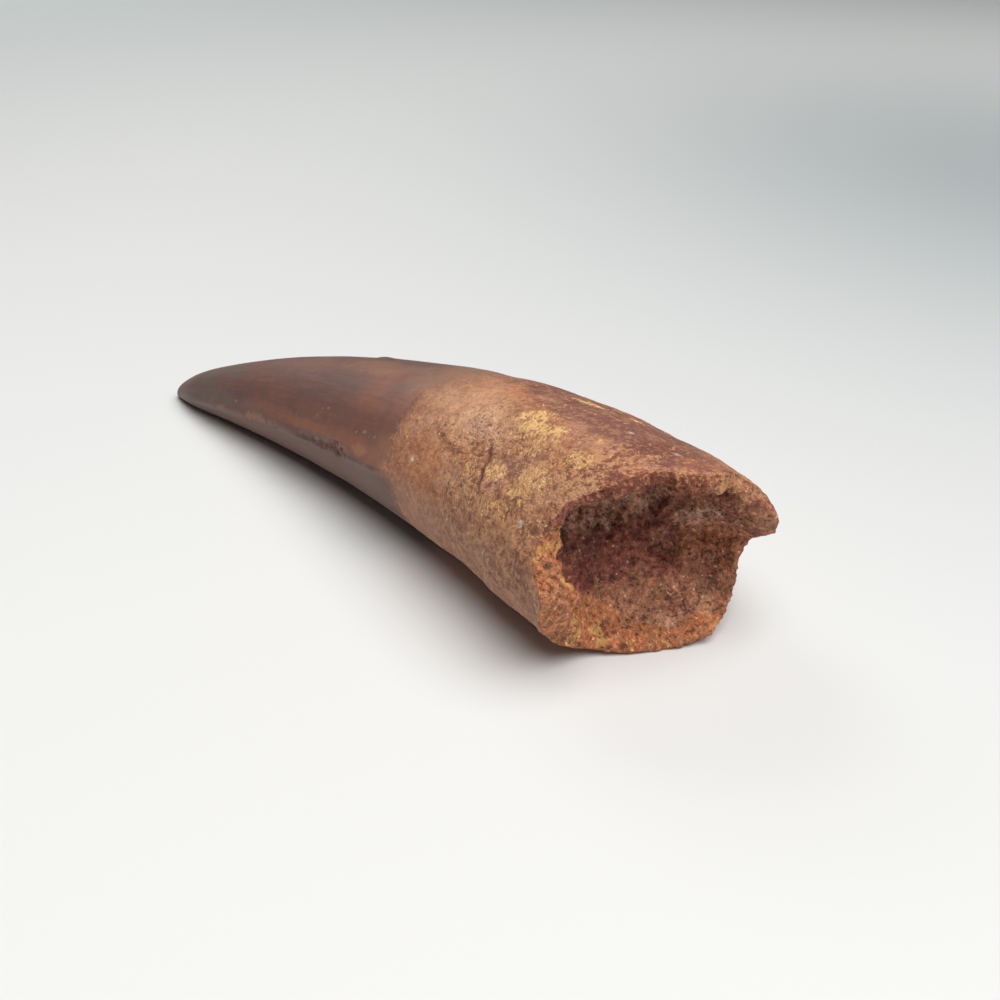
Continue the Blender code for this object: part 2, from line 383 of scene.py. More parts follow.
# Round the tooth, in mm: how far the rim is moved to the far side, and out past the root's end.
# Here the underside's angles run on from 180 to 299.
RIM_TO_FAR_SIDE = (
    (60, 0), (85, 0.45), (118, 0.35), (135, 0.5), (150, 0.5), (160, 0.3), (170, 0.5),
    (180, 1.15), (190, 0.95), (200, 1.4), (222, 1.4), (230, 0.5), (240, -0.2),
    (250, 0.4), (260, 0.4), (299, 0),
)
RIM_OUT = (
    (42, 0), (48, -1.6), (62, -1.4), (70, -0.8), (80, -1.2), (90, -1.5), (100, -0.7),
    (110, -1.5), (118, -0.3), (125, 0), (150, -0.1), (160, -0.2), (170, 0), (180, -0.3),
    (190, -1.6), (200, 0.5), (225, 0.3), (235, 0), (250, 0.5), (262, 1.2), (285, 0.9),
    (299, 0),
)


# What is moved there: all of it at the second number, none of it at the first
END_FADES, MIDDLE_FADES = (0.015, 0.002), (0.45, 0.80)


def shape_end(piece):
    """Thickens the wall at the broken end and brings its rim to the broken outline."""
    points, normals = points_and_normals(piece.data)
    where = Unrolled(points, normals)
    turned = np.where(where.round < -60, where.round + 360, where.round)
    to_far_side, out = profile(turned, RIM_TO_FAR_SIDE), profile(turned, RIM_OUT)
    fade = smooth(*END_FADES, where.along) * smooth(*MIDDLE_FADES, where.out) * MM
    moved = points - where.radial * thicker_wall(points, where, turned)[:, None]
    moved -= where.side * (to_far_side * fade)[:, None] + where.ahead * (out * fade)[:, None]
    moved[:, 2] = np.maximum(moved[:, 2], np.minimum(points[:, 2], 0.0))
    piece.data.vertices.foreach_set("co", moved.ravel())
    piece.data.update()


# Chips out of the near keel: place along the tooth, half length, half width and depth
KEEL_CHIPS = (
    (0.104, 0.0062, 0.0009, 0.00034), (0.096, 0.0014, 0.0006, 0.0002),
    (0.119, 0.0022, 0.0006, 0.00018), (0.0845, 0.0026, 0.0007, 0.00022),
    (0.0785, 0.0052, 0.001, 0.00032), (0.071, 0.0046, 0.0014, 0.00042),
    (0.064, 0.0022, 0.0006, 0.0002), (0.056, 0.0016, 0.0007, 0.0002),
)
CHIPS_ABOVE_KEEL = 0.0002


def flakes_off_keel(where, points):
    """Chips out of the near keel: depth in metres."""
    ragged = grain(points, 0.0016, 21.0)
    arc = where.from_angle(where.keel)
    lost = np.zeros(len(points))
    for place, half_length, half_width, depth in KEEL_CHIPS:
        a = np.abs(where.along - place) / half_length
        b = np.abs(arc - CHIPS_ABOVE_KEEL) / half_width
        inside = 1 - np.hypot(a, b) + 0.75 * ragged
        lost = np.maximum(lost, depth * smooth(0.0, 0.25, inside) * (1 + 0.4 * ragged))
    return lost


# The crack starts at this distance and angle, and rises by this much of each
CRACK_START, CRACK_RUN = (0.0237, 31.0), (0.0046, 21.0)
CRACK_BOW = 0.0006
CRACK_ENDS_WIDTH, CRACK_SWELL = 0.00025, 0.00030


def crack(where):
    """The crack across the near side of the root: share from 0 to 1."""
    nearest = np.full(len(where.along), 9.0)
    for t in np.linspace(0, 1, 60):
        swell = math.sin(math.pi * t)
        place = CRACK_START[0] + CRACK_RUN[0] * t - CRACK_BOW * swell
        angle = CRACK_START[1] + CRACK_RUN[1] * t
        width = CRACK_ENDS_WIDTH + CRACK_SWELL * swell
        away = np.hypot(where.along - place, where.from_angle(angle)) / width
        nearest = np.minimum(nearest, away)
    return np.exp(-(nearest**2))


# Round the tooth: distance along it at which the enamel ends, and the width in mm over which it
# gives way to the root. Its colour does so over no less than the last width.
ENAMEL_ENDS = (
    (-180, 0.0490), (-60, 0.0490), (0, 0.0495), (10, 0.0525), (55, 0.0535),
    (66, 0.0555), (78, 0.0530), (95, 0.0505), (180, 0.0490),
)
ENAMEL_BLEND = ((-20, 6), (5, 4.5), (28, 3), (36, 1.5), (58, 1.7), (68, 4), (82, 8))
LEAST_COLOUR_BLEND = 3.2


def past_enamel_edge(where, points):
    """How far each point is on the crown's side of the enamel's wavy edge."""
    wave = 0.0008 * grain(points, 0.005, 4.0) + 0.0005 * facets(points, 0.0018, 4.5)
    return where.along - (profile(where.round, ENAMEL_ENDS) + wave)


def marking(where, patches, ragged):
    """Share from 0 to 1 covered by ragged patches."""
    share = np.zeros(len(where.along))
    for place, angle, half_length, half_angle, strength in patches:
        round_away = (where.round - angle + 180.0) % 360.0 - 180.0
        away = np.hypot((where.along / MM - place) / half_length, round_away / half_angle)
        share = np.maximum(share, strength * smooth(1.35, 0.45, away + 0.5 * ragged))
    return share


# Patches of each marking: place along the tooth (mm), angle round it (degrees), half length (mm),
# half width (degrees) and strength
MARKS = {
    "ochre": (
        (24.5, 73, 5.5, 10, 1), (19.5, 66, 3.5, 9, 0.6), (27, 80, 3, 5, 0.8), (21, 57, 3, 4, 0.5),
        (11, 69, 3.6, 5, 1), (12.7, 84, 1.5, 3, 0.6), (12.5, 52, 3, 6, 0.8),
        (15.5, 49, 2.2, 9, 1), (14, 40, 3, 6, 0.8), (22.5, 42, 2.6, 5, 0.9), (28, 38, 5, 7, 0.35),
        (24, 25, 6, 8, 0.4), (17, 26, 4, 8, 0.45), (33, 22, 4, 6, 0.25), (19, 117, 1.8, 3, 0.8),
        (27, 109, 4.5, 2.5, 0.9),
    ),
    "plum": (
        (20, 48, 3.5, 7, 0.75), (17, 61, 2.2, 6, 0.6), (3.6, 9, 2.4, 9, 0.6),
        (30, 110, 19, 17, 1), (13, 98, 13, 12, 1), (24, 92, 10, 7, 0.9), (12, 116, 14, 17, 1),
        (46, 104, 8, 6, 0.6), (57, 40, 4, 10, 0.25), (70, 39, 17, 4.5, 0.4),
        (61, 66, 2, 2.5, 0.7), (84, 62, 11, 12, 0.45), (108, 36, 10, 12, 0.55),
        (112, 22, 4, 6, 0.5), (97, 62, 14, 14, 0.35),
    ),
    "warm": (
        (46, 20, 9, 18, 1), (52, 48, 2.2, 11, 0.9), (56.5, 50, 3.5, 16, 0.6),
        (65, 45, 7, 9, 0.55), (34, 47, 5, 8, 0.35), (12, 63, 5, 10, 0.8), (38, 91, 7, 6, 0.4),
        (49, 84, 5, 8, 0.45), (68, 58, 5.5, 8, 0.5), (69, 72, 8, 9, 0.45), (65, 17, 12, 6, 0.8),
        (82, 15, 12, 5, 0.8), (97, 17, 10, 8, 0.5), (58, 96, 6, 8, 0.5),
    ),
    "red": (
        (5, 108, 9, 14, 1), (31, 88, 5, 6, 0.5), (20, 94, 3, 4, 0.6), (3, 98, 6, 9, 0.55),
        (14, 72, 4, 6, 0.3), (9.3, 7, 1, 3, 0.9), (1, 72, 3, 18, 0.65),
    ),
    # On top of the crown, at 74 and 97 mm, these are painted sheen; elsewhere they are pale patches
    "light": (
        (42, 73, 9, 14, 0.6), (35, 53, 4.5, 7, 0.8), (29, 24, 4, 8, 0.5), (74, 84, 14, 12, 0.3),
        (97, 80, 12, 14, 0.15), (48, 66, 5, 7, 0.6), (25, 92, 4, 4, 0.55), (35, 61, 8, 14, 1),
        (36, 57, 6, 9, 1), (46, 28, 3, 5, 0.35), (7, 62, 4, 9, 0.35), (2, -6, 1.4, 7, 0.45),
        (62, 14, 3, 4, 0.4),
    ),
    "olive": (
        (88, 43, 5, 5, 0.6), (64, 90, 7, 8, 0.5), (57, -8, 7, 9, 0.6), (122, 12, 9, 9, 0.8),
        (134, 40, 17, 90, 0.85), (4.5, 3, 3, 9, 0.8), (12, -4, 5, 7, 0.45),
    ),
    # Painted light in the hollow, where light falls into it
    "lit": (
        (3, -92, 6.5, 50, 1), (2, -135, 4.5, 22, 0.8), (6, -166, 4.2, 18, 1),
        (0.5, 165, 4, 20, 1), (7.5, 156, 5, 24, 0.9), (13.8, 95, 3, 80, 1),
        (11, 160, 2.5, 16, 0.5),
    ),
    "ember": (
        (3.2, -38, 5, 28, 1), (2.5, -50, 3.6, 16, 0.8), (1, 4, 3, 22, 0.9),
        (2.8, 28, 2.2, 9, 0.95), (3.2, -70, 1.6, 14, 0.8), (-1.2, -117, 1.6, 9, 0.95),
        (6, -166, 3.6, 13, 0.6), (-4.4, 104, 1, 7, 0.6),
    ),
    # Clay lumps high in the hollow, made lighter as painted light
    "clay_and_painted_light": (
        (13.6, 78, 4, 60, 1), (12.6, 150, 1.6, 14, 0.6), (13.4, 20, 1.2, 16, 0.5),
        (7.5, 178, 3.4, 16, 0.6), (0.6, -90, 1.2, 6, 0.35), (1.6, -103, 1.4, 5, 0.25),
    ),
    "bone": (
        (-2.2, 162, 1.6, 6, 0.6), (-0.6, 146, 1.6, 6, 0.7), (1.2, 136, 1.2, 6, 0.8),
        (0.6, -128, 1.6, 6, 0.5), (4.6, -56, 1.2, 6, 0.4), (0.4, 8, 0.9, 7, 0.5),
    ),
    # Painted shadow in the darkest places of the hollow
    "painted_shadow": (
        (9.8, -152, 1.8, 13, 0.45), (14, 114, 0.9, 12, 0.9), (7, 178, 4.5, 5, 0.3),
        (12.4, -10, 2.4, 60, 0.6), (4.5, 138, 6, 6, 0.35),
    ),
    "pale": (
        (45, 25, 0.6, 1.8, 1), (9.8, 30, 0.6, 2, 1), (78, 34, 0.3, 1, 0.6),
        (80.5, 27, 0.4, 1, 0.5), (58.6, 27, 0.5, 0.8, 0.5), (60.4, 26, 0.3, 0.8, 0.5),
        (62.6, 27, 0.7, 0.8, 0.4), (65.2, 25, 0.3, 0.8, 0.4), (63, 12, 0.6, 1.2, 0.4),
        (70.4, 8, 0.6, 2.2, 0.9), (113, 16, 0.4, 1.4, 0.5), (13, 100, 0.5, 0.9, 0.6),
        (4, 105, 0.7, 1, 0.5), (1, 22, 0.6, 1.4, 0.6),
    ),
}

# Round the tooth: how much crust the root has, and how far along the tooth it goes
ROOT_CRUST = ((-60, 0.5), (0, 0.6), (14, 1), (62, 1), (84, 0.35))
CRUST_ENDS = ((0, 0.038), (35, 0.039), (48, 0.050), (60, 0.044))
CRUST_FADES_OVER = 0.010

# Round the tooth, from 0 to 360 degrees: how much smoother the hollow is at its rim, and how
# strongly the rim is crumbled
RIM_SMOOTHER = ((40, 0.8), (60, 0.3), (150, 0.3), (170, 0.8))
RIM_CRUMBLES = (
    (45, 1), (60, 1.6), (110, 1.6), (125, 1), (150, 1), (165, 0.3), (258, 0.3), (268, 1),
)

CREASE_WIDTH, KEEL_LINE_WIDTH = 0.0026, 0.00045
CREASE_FADES_FROM, CREASE_FADES_TO = 0.125, 0.140
LIP_WIDTH = 0.0016
CRACK_DEPTH = 0.00045
FULL_CHIP = 0.0003

# Points lower than this stay where they are, so that the tooth still rests flat
RESTING_BELOW = 0.00025

# Single dents and bumps: place along the tooth, angle, half length, half width, how blunt, height,
# and whether it is kept off the inside of the hollow
SPOTS = (
    (0.0092, 7.0, 0.0011, 0.0010, 4.0, -0.00035, False),
    (0.0012, -2.0, 0.0020, 0.0022, 3.0, -0.00030, True),
    (0.0805, 104.0, 0.0020, 0.0011, 3.0, 0.00030, False),
    (0.0765, 104.0, 0.0018, 0.0012, 3.0, -0.00025, False),
)


def spot(where, place, angle, half_length, half_width, blunt):
    """1 in the middle of a spot on the surface, falling to 0 outside it."""
    a = np.abs(where.along - place) / half_length
    b = np.abs(where.from_angle(angle)) / half_width
    return np.exp(-((a * a + b * b) ** (blunt / 2)))


def sculpt(piece, sizes):
    """Moves the points along their normals: grain, pits, chips, crack and crumbled rim.

    Returns where the points lie, and the shares that the finish reads.
    """
    mesh = piece.data
    points, normals = points_and_normals(mesh)
    where = Unrolled(points, normals)
    hollow, broken, rim = zones(mesh, points, where)
    ragged = grain(points, 0.0034, 31.0) + 0.4 * grain(points, 0.0012, 32.0)
    marks = {name: marking(where, patches, ragged) for name, patches in MARKS.items()}

    past_edge = past_enamel_edge(where, points)
    blend = profile(where.round, ENAMEL_BLEND) * MM
    stained = np.maximum(blend, LEAST_COLOUR_BLEND * MM)
    crown = smooth(-blend, blend, past_edge + 0.35 * blend * ragged)
    stain = smooth(-stained, stained, past_edge + 0.35 * blend * ragged)
    outer_root = (1 - crown) * (1 - hollow)
    crust = profile(where.round, ROOT_CRUST)
    end = profile(where.round, CRUST_ENDS)
    faded = smooth(end, end - CRUST_FADES_OVER, where.along + 0.002 * ragged)
    crust *= 0.30 + 0.70 * faded
    crust *= 1 - 0.75 * marks["plum"]

    # Root: grain, pits and raised ochre
    fine = grain(points, 0.0012, 1.0)
    knobs = sizes.root_grain * (0.75 * fine + 0.8 * grain(points, 0.0032, 2.0))
    pitted = smooth(0.0, 0.5, grain(points, 0.010, 6.0) + 0.25)
    pits = smooth(0.34, 0.05, cells(points, 0.0027, 5.0)) * pitted
    height = outer_root * crust * (knobs - sizes.root_pits * pits)
    height += outer_root * (0.00010 * fine + 0.00012) * marks["ochre"]

    # Hollow: coarse broken lumps
    lumps = 0.55 * facets(points, 0.0017, 7.0) + 0.8 * facets(points, 0.0042, 7.5) + 0.5 * fine
    smoother = profile(where.round % 360, RIM_SMOOTHER) * rim
    height += hollow * (1 - 0.4 * broken) * (1 - smoother) * sizes.hollow_grain * lumps

    # Crown: streaks, the lip of the enamel where it ends sharply, and the keel with its chips
    drawn_out = np.stack([where.along * 0.12, where.round * 0.00035, 0 * where.along], axis=1)
    height += crown * sizes.crown_streaks * grain(drawn_out, 0.0011, 8.0)
    sharp = 0.6 * smooth(0.0030, 0.0012, blend)
    lip = np.exp(-((past_edge / LIP_WIDTH) ** 2)) * (crown - 0.6)
    height += sizes.enamel_lip * (1 - hollow) * sharp * lip
    chips = flakes_off_keel(where, points)
    arc = np.abs(where.from_angle(where.keel))
    crease = smooth(CREASE_FADES_TO, CREASE_FADES_FROM, where.along)
    height += crown * crease * sizes.keel_crease * np.exp(-arc / CREASE_WIDTH)
    height -= chips

    cracked = crack(where)
    height -= CRACK_DEPTH * cracked * outer_root
    for *place, rise, outside_only in SPOTS:
        height += rise * spot(where, *place) * (1 - hollow * outside_only)

    # Rim: splinters, pushed out past the end too where it faces that way
    chunks = 0.35 * facets(points, 0.0024, 11.0) + 0.7 * facets(points, 0.0060, 12.0)
    splinters = chunks + 0.2 * fine
    rim *= profile(where.round % 360, RIM_CRUMBLES)
    rise = height + 0.25 * sizes.rim_crumble * rim * splinters
    past_end = sizes.rim_crumble * rim * splinters * smooth(-0.2, 0.5, where.faces_end)
    moved = points + normals * rise[:, None]
    moved -= where.ahead * past_end[:, None]
    resting = points[:, 2] < RESTING_BELOW
    moved[:, 2] = np.where(resting, points[:, 2], np.maximum(moved[:, 2], 0.0))
    mesh.vertices.foreach_set("co", moved.ravel())
    mesh.update()

    shares = {"hollow": hollow, "broken": broken, "rim": rim, "crown": stain, "crust": crust}
    shares["crack"] = cracked
    shares["chip"] = np.clip(chips / FULL_CHIP, 0, 1)
    shares["keel"] = np.exp(-((arc / KEEL_LINE_WIDTH) ** 2))
    return where, shares | marks


def store_shares(piece, shares):
    """Keeps each share on the piece's points, as an attribute of its name."""
    for name, values in shares.items():
        layer = piece.data.attributes.new(name, "FLOAT", "POINT")
        layer.data.foreach_set("value", np.asarray(values, dtype=np.float32))


def unroll(piece, where):
    """A UV map: across is the distance along the tooth, up the angle round it from underneath."""
    mesh = piece.data
    corners = read(mesh.loops, "vertex_index")
    across = where.along[corners] / LENGTH
    up = ((where.round[corners] + 90.0) % 360.0) / 360.0
    face = np.repeat(np.arange(len(mesh.polygons)), read(mesh.polygons, "loop_total"))
    highest = np.zeros(len(mesh.polygons))
    np.maximum.at(highest, face, up)
    past_seam = highest[face] - up > 0.5
    up = np.where(past_seam, up + 1.0, up)
    layer = mesh.uv_layers.new(name="unrolled")
    layer.data.foreach_set("uv", np.stack([across, up], axis=1).astype(np.float32).ravel())


# -------- finish of the tooth


def maths(operation, swapped=False):
    """A method of Amount that adds a Math node. Swapped, the amount is its second value."""

    def method(self, other):
        first, second = (other, self) if swapped else (self, other)
        node = self.finish.node("ShaderNodeMath", {"operation": operation}, {0: first, 1: second})
        return Amount(self.finish, node.outputs[0])

    return method


class Amount:
    """A number that varies over a surface. Sums and products of amounts add their own nodes."""

    def __init__(self, finish, socket):
        self.finish, self.socket = finish, socket

    __add__ = __radd__ = maths("ADD")
    __sub__ = maths("SUBTRACT")
    __rsub__ = maths("SUBTRACT", swapped=True)
    __mul__ = __rmul__ = maths("MULTIPLY")
    __truediv__ = maths("DIVIDE")
    __rpow__ = maths("POWER", swapped=True)
    __lt__ = maths("LESS_THAN")
    __gt__ = maths("GREATER_THAN")
    at_least = maths("MAXIMUM")

    def between(self, low, high):
        """0 where the amount is low, 1 where it is high, smooth between."""
        if low > high:
            return 1 - self.between(high, low)
        settings = {"interpolation_type": "SMOOTHSTEP"}
        inputs = {"Value": self, "From Min": low, "From Max": high}
        node = self.finish.node("ShaderNodeMapRange", settings, inputs)
        return Amount(self.finish, node.outputs[0])


class Finish:
    """Builds one material from nodes."""

    def __init__(self, name):
        self.material = bpy.data.materials.new(name)
        self.material.use_nodes = True
        self.tree = self.material.node_tree
        self.shader = self.tree.nodes["Principled BSDF"]

    def node(self, kind, settings=None, inputs=None):
        """A new node, with its settings made first and its inputs set or linked."""
        made = self.tree.nodes.new(kind)
        for key, value in (settings or {}).items():
            setattr(made, key, value)
        for key, value in (inputs or {}).items():
            self.put(made.inputs[key], value)
        return made

    def put(self, socket, value):
        """Links an amount or another node's output to an input, or sets the input's own value."""
        if isinstance(value, Amount):
            value = value.socket
        if isinstance(value, bpy.types.NodeSocket):
            self.tree.links.new(value, socket)
        elif hasattr(value, "__len__") and socket.type == "RGBA":
            socket.default_value = (*value, 1.0)
        else:
            socket.default_value = value

    def amount(self, node, output=0):
        return Amount(self, node.outputs[output])

    def share(self, name):
        """A share stored on the piece's points."""
        return self.amount(self.node("ShaderNodeAttribute", {"attribute_name": name}), "Fac")

    def mix(self, share, below, above):
        """The colour below, covered by the colour above as far as the share says."""
        node = self.node("ShaderNodeMix", {"data_type": "RGBA", "clamp_factor": True})
        for place, value in {0: share, 6: below, 7: above}.items():
            self.put(node.inputs[place], value)
        return node.outputs[2]

    def layered(self, colour, *layers):
        """The colour, covered in turn by each pair of a share and a colour."""
        for share, above in layers:
            colour = self.mix(share, colour, above)
        return colour

    def shade(self, colour, factor):
        """The colour made lighter or darker by a varying factor."""
        inputs = {0: colour, "Scale": factor}
        return self.node("ShaderNodeVectorMath", {"operation": "SCALE"}, inputs).outputs[0]


class ToothFinish(Finish):
    """Enamel, root, broken wall and hollow of the tooth in one material.

    Distances along the tooth are in mm here, and angles round it in degrees.
    """

    def __init__(self, name, colours):
        super().__init__(name)
        self.colours = colours
        place = self.node("ShaderNodeTexCoord")
        self.at = place.outputs["Object"]
        unrolled = self.node("ShaderNodeUVMap", {"uv_map": "unrolled"})
        split = self.node("ShaderNodeSeparateXYZ", None, {0: unrolled.outputs[0]})
        self.along = self.amount(split, 0) * (LENGTH / MM)
        self.round = self.amount(split, 1) * 360.0 - 90.0

        wrinkles = self.streaks(1.0, 3.2, 23.0)
        clusters = self.noise(0.0045, 2.0, 0.5, 33.0) - 0.5
        tatter = self.noise(0.0034, 4.0, 0.7, 15.0)
        self.fray = self.noise(0.0013, 4.0, 0.7, 5.0)
        self.crumbs = self.noise(0.0010, 3.6, 0.80, 29.0) + clusters * 0.25
        self.grain = 0.5 + (wrinkles - 0.5) * 0.32 + (self.crumbs - 0.5) * 0.95
        # Pits: dark specks, partly dark grains and partly painted shade of tiny pits
        self.pits = self.specks(0.0011, 0.35, 0.24, 12.0) * (self.crumbs < 0.53)
        # Glints: light specks, partly pale grains and partly painted glints
        self.glints = self.specks(0.0014, 0.50, 0.22, 14.0) * (self.crumbs > 0.46)

        crown = self.share("crown") + (self.fray - 0.5) * 0.9 + (tatter - 0.5) * 0.9
        self.crown = crown.between(0.12, 0.88)
        self.crust = self.share("crust")
        self.hollow = self.share("hollow").between(0.35, 0.65)
        self.broken = (self.share("broken") + (self.fray - 0.5) * 0.8).between(0.30, 0.60)

    def shifted(self, at, *shift):
        """Places moved, so that two patterns of one kind differ."""
        moved = self.node("ShaderNodeVectorMath", {"operation": "ADD"}, {0: at, 1: shift})
        return moved.outputs[0]

    def noise(self, size, detail, roughness, seed, distortion=0.0, at=None):
        """Noise with features of the given size, 0 to 1."""
        moved = self.shifted(at or self.at, seed, -seed, 0.7 * seed)
        inputs = {"Vector": moved, "Scale": 1 / size, "Detail": detail}
        inputs |= {"Roughness": roughness, "Distortion": distortion}
        return self.amount(self.node("ShaderNodeTexNoise", None, inputs), "Fac")

    def streaks(self, along_size, round_size, seed):
        """Noise drawn out along the tooth."""
        drawn_out = {0: self.along / along_size, 1: self.round / round_size}
        spread = self.node("ShaderNodeCombineXYZ", None, drawn_out)
        return self.noise(1.0, 4.0, 0.6, seed, at=spread.outputs[0])

    def specks(self, size, chance_above, radius, seed):
        """Round specks, in those scattered grains whose chance is high enough."""
        moved = self.shifted(self.at, -seed, seed, 0.3 * seed)
        grains = self.node("ShaderNodeTexVoronoi", None, {"Vector": moved, "Scale": 1 / size})
        chances = self.node("ShaderNodeSeparateColor", None, {0: grains.outputs["Color"]})
        chosen = self.amount(chances, 1).between(chance_above, chance_above + 0.01)
        return self.amount(grains, "Distance").between(radius, radius * 0.6) * chosen

    def mark(self, name, fray=0.8):
        """A marking with its edge frayed by fine noise."""
        return self.share(name) * (1 + (self.fray - 0.5) * fray * 2).at_least(0.0)

    def ochre_flecks(self):
        """The ochre broken up into slanting flecks: solid where it is strong, else scattered."""
        arc = self.round * 0.30
        lengthwise = (self.along * 0.82 - arc * 0.57) / 0.62
        crosswise = (self.along * 0.57 + arc * 0.82) / 1.5
        spread = self.node("ShaderNodeCombineXYZ", None, {0: crosswise, 1: lengthwise})
        speckle = self.noise(1.0, 4.0, 0.72, 27.0, at=spread.outputs[0])
        return (self.share("ochre") * 0.22 + speckle - 0.65).between(-0.02, 0.04)

    def enamel_colour(self):
        """Red-brown with clouds and streaks, thinner and lighter next to the root, with painted
        shade under the keel and painted sheen on top.
        """
        c = self.colours
        cloud = self.noise(0.009, 4.0, 0.6, 11.0)
        lines = self.streaks(9.0, 2.2, 2.0)
        on_top = self.round.between(56, 68) * self.round.between(135, 110)
        low = self.round.between(36, 26) * self.round.between(0, 8)
        thin = self.along.between(66, 54) * on_top * 0.75 + self.along.between(64, 51) * low * 0.55
        # Painted shade: the flank under the keel, which faces down
        under_keel = (self.round + (self.along - 52.0) * 0.14 - 8.0).between(-1.5, -5.0)
        colour = self.layered(
            c.enamel,
            (self.mark("olive", 0.3), c.enamel_olive),
            (cloud.between(0.50, 0.72) * 0.5, c.enamel_plum),
            (cloud.between(0.46, 0.28) * 0.4, c.enamel_warm),
            (self.mark("warm", 0.4) * 0.85, c.enamel_warm),
            (self.mark("plum", 0.4) * 0.85, c.enamel_plum),
            (lines.between(0.54, 0.70) * 0.25, c.enamel_plum),
            (lines.between(0.46, 0.32) * 0.25, c.enamel_warm),
            (thin, c.enamel_thin),
            (under_keel * 0.85, c.enamel_painted_shade),
            # Light patches: painted sheen on top of the crown, pale patches elsewhere
            (self.mark("light") * 0.5, c.root_light),
        )
        mottling = self.noise(0.0018, 5.0, 0.75, 17.0)
        worn = self.share("chip") * self.along.between(60, 64) * self.along.between(92, 86)
        return self.layered(
            self.shade(colour, 0.80 + mottling * 0.40),
            (worn * self.fray.between(0.50, 0.58) * 0.6, c.chip_light),
            (worn * self.fray.between(0.48, 0.40) * 0.7, c.chip_dark),
        )

    def root_colour(self):
        """Tan dentine with drifts of colour, stains, ochre, light and dark grains, painted shade on
        the lower flank, painted glints and painted shade in tiny pits.
        """
        c = self.colours
        cloud = self.noise(0.008, 4.0, 0.6, 21.0)
        drift = self.noise(0.0065, 5.0, 0.7, 71.0, distortion=0.6)
        lower = (self.round + (cloud - 0.5) * 16.0).between(16.0, 1.0)
        lines = self.streaks(4.0, 1.6, 31.0).between(0.60, 0.74)
        colour = self.layered(
            c.root,
            (cloud.between(0.44, 0.68) * 0.5, c.root_warm),
            (self.mark("light", 0.5) * 0.85, c.root_pale),
            (drift.between(0.48, 0.60) * 0.55, c.root_rosy),
            (drift.between(0.47, 0.36) * 0.50, c.root_brown),
            (self.mark("warm", 0.5), c.root_warm),
            (self.mark("red", 0.6), c.root_red),
            # Painted shade: greyer on the lower flank, which faces down
            (lower * 0.9, c.root_painted_shade),
            (self.mark("plum", 0.5), c.root_plum),
            (lines * self.mark("plum") * self.round.between(80, 95) * 0.6, c.root_light),
            (self.mark("olive") * lower, c.root_dark),
            (self.along.between(41, 53) * 0.65, c.root_neck),
            (self.mark("ochre", 0.7) * 0.55, c.ochre_stain),
            (self.ochre_flecks() * 0.95, c.ochre),
        )
        mottling = self.noise(0.0035, 4.0, 0.7, 25.0)
        rough = self.crust * 0.75 + 0.25
        colour = self.layered(
            self.shade(colour, 0.66 + mottling * 0.68),
            (self.grain.between(0.510, 0.58) * rough * 0.95, c.root_light),
            (self.grain.between(0.470, 0.38) * rough * 0.80, c.root_dark),
            # Light specks: pale grains and painted glints
            (self.glints * rough * 0.80, c.root_glint),
        )
        # Dark specks: dark grains and painted shade of tiny pits
        return self.mix(self.pits * (rough * 0.7 + 0.2) * 0.60, colour, self.shade(colour, 0.38))

    def broken_stone(self, colour):
        """The colour made uneven as on a broken face: cloudy, with light and dark grains, painted
        glints and painted shade in tiny pits.
        """
        mottling = self.noise(0.003, 4.0, 0.7, 45.0)
        colour = self.shade(colour, 0.60 + mottling * 0.80)
        light = self.mix(0.30, self.shade(colour, 2.0), self.colours.root_light)
        colour = self.mix(self.crumbs.between(0.53, 0.62) * 0.80, colour, light)
        dark = self.shade(colour, 0.26)
        colour = self.mix(self.crumbs.between(0.47, 0.39) * 0.88, colour, dark)
        # Light specks: pale grains and painted glints
        glint = self.mix(0.40, self.shade(colour, 2.4), self.colours.chalk)
        colour = self.mix(self.glints * 0.80, colour, glint)
        # Dark specks: dark grains and painted shade of tiny pits
        return self.mix(self.pits * 0.80, colour, self.shade(colour, 0.25))

    def hollow_colour(self):
        """Purple-brown, with painted light on the open side, clay lumps made lighter as painted
        light, orange stains and painted shadow in the darkest places.
        """
        c = self.colours
        colour = self.layered(
            c.hollow,
            # Painted light where light falls into the hollow
            (self.mark("lit", 0.6), c.hollow_painted_light),
            # Clay lumps, made lighter as painted light
            (self.mark("clay_and_painted_light", 0.8) * self.fray.between(0.36, 0.50), c.hollow_clay_and_painted_light),
            (self.mark("ember", 0.8), c.rim),
            # Painted shadow in the darkest places
            (self.mark("painted_shadow", 0.6) * 0.8, c.hollow_painted_shadow),
            (self.mark("bone", 0.6) * 0.9, c.root_light),
        )
        return self.broken_stone(colour)

    def wall_colour(self):
        """The broken end of the wall: orange low down, brown on top, pale on the prong."""
        c = self.colours
        top = self.round.between(42, 58) * self.round.between(118, 104)
        prong = self.round.between(104, 118) * self.round.between(175, 160)
        patchy = self.noise(0.0035, 3.0, 0.6, 47.0)
        colour = self.layered(
            c.rim,
            (patchy.between(0.50, 0.58) * 0.7, c.root),
            (patchy.between(0.46, 0.38) * 0.8, c.rim_yellow),
            (top * 0.9, c.rim_brown),
            (prong * 0.55, c.root_light),
        )
        return self.broken_stone(colour)

    def colour(self):
        """Root and enamel, with the keel, chips and crack on them, a painted highlight on the lower
        rim, then hollow, wall, painted shade along the top rim and specks.
        """
        c = self.colours
        keel = self.share("keel") * self.along.between(52, 56) * self.along.between(92, 86)
        fresh = self.share("chip") * self.along.between(94, 99)
        low_rim = self.round.between(-40, -25) * self.round.between(66, 52)
        top_rim = self.round.between(48, 60) * self.round.between(165, 150)
        # Lip: a painted highlight, a pale line along the edge of the lower rim
        lip = self.share("rim").between(0.70, 0.98) * low_rim
